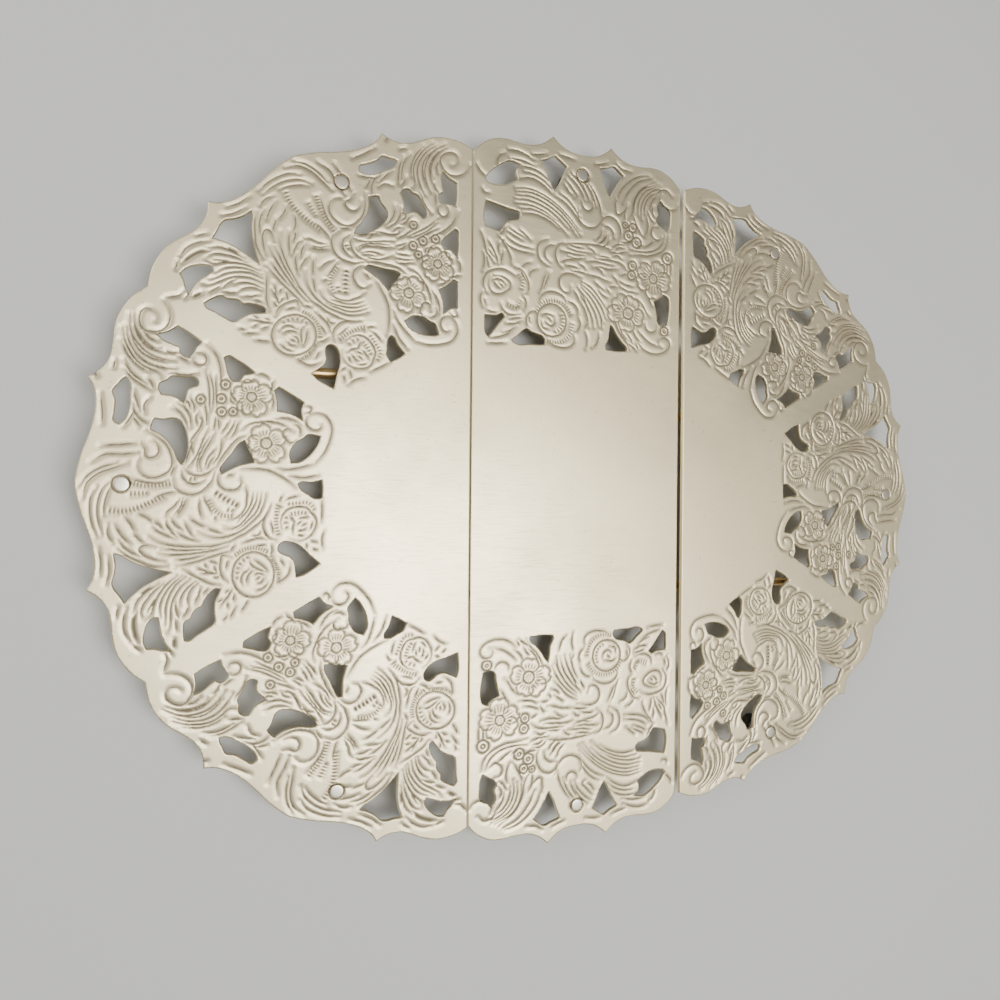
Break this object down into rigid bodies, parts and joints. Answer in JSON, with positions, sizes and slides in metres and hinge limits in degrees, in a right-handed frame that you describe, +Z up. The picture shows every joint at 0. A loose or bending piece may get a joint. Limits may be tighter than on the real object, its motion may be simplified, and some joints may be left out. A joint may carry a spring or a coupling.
{
  "type": "extending trivet",
  "caption": "Oval extending table mat of silver-plated brass: pierced, chased half-round end leaves that slide over a centre leaf on brass rods.",
  "frame": {"origin": "centre of the mat on the surface it stands on, pulled out", "axes": "+X along the pull, from the left end leaf to the right one; +Y along the seams, to the rear; +Z up"},
  "size_m": [0.2802, 0.2194, 0.0117],
  "materials": {
    "silver_plate": "satin",
    "brass": "satin",
    "rubber_pad": "matte"
  },
  "bodies": {
    "centre": {"centre_leaf": "silver_plate", "left_long_rod_guide_outer": "brass", "left_long_rod_guide_inner": "brass", "left_short_rod_guide_outer": "brass", "left_short_rod_guide_inner": "brass", "right_long_rod_guide_outer": "brass", "right_long_rod_guide_inner": "brass", "right_short_rod_guide_outer": "brass", "right_short_rod_guide_inner": "brass", "centre_leaf_rear_foot": "silver_plate", "centre_leaf_rear_foot_pad": "rubber_pad", "centre_leaf_front_foot": "silver_plate", "centre_leaf_front_foot_pad": "rubber_pad"},
    "left_end": {"left_leaf": "silver_plate", "left_long_rod": "brass", "left_long_rod_anchor": "brass", "left_long_rod_stop": "brass", "left_short_rod": "brass", "left_short_rod_anchor": "brass", "left_short_rod_stop": "brass", "left_leaf_rear_foot": "silver_plate", "left_leaf_rear_foot_pad": "rubber_pad", "left_leaf_end_foot": "silver_plate", "left_leaf_end_foot_pad": "rubber_pad", "left_leaf_front_foot": "silver_plate", "left_leaf_front_foot_pad": "rubber_pad"},
    "right_end": {"right_leaf": "silver_plate", "right_long_rod": "brass", "right_long_rod_anchor": "brass", "right_long_rod_stop": "brass", "right_short_rod": "brass", "right_short_rod_anchor": "brass", "right_short_rod_stop": "brass", "right_leaf_rear_foot": "silver_plate", "right_leaf_rear_foot_pad": "rubber_pad", "right_leaf_end_foot": "silver_plate", "right_leaf_end_foot_pad": "rubber_pad", "right_leaf_front_foot": "silver_plate", "right_leaf_front_foot_pad": "rubber_pad"}
  },
  "joints": [
    {"name": "left_leaf_slide", "type": "slide", "parent": "centre", "child": "left_end", "axis": [1, 0, 0], "range_m": [0, 0.036]},
    {"name": "right_leaf_slide", "type": "slide", "parent": "centre", "child": "right_end", "axis": [-1, 0, 0], "range_m": [0, 0.036]}
  ]
}
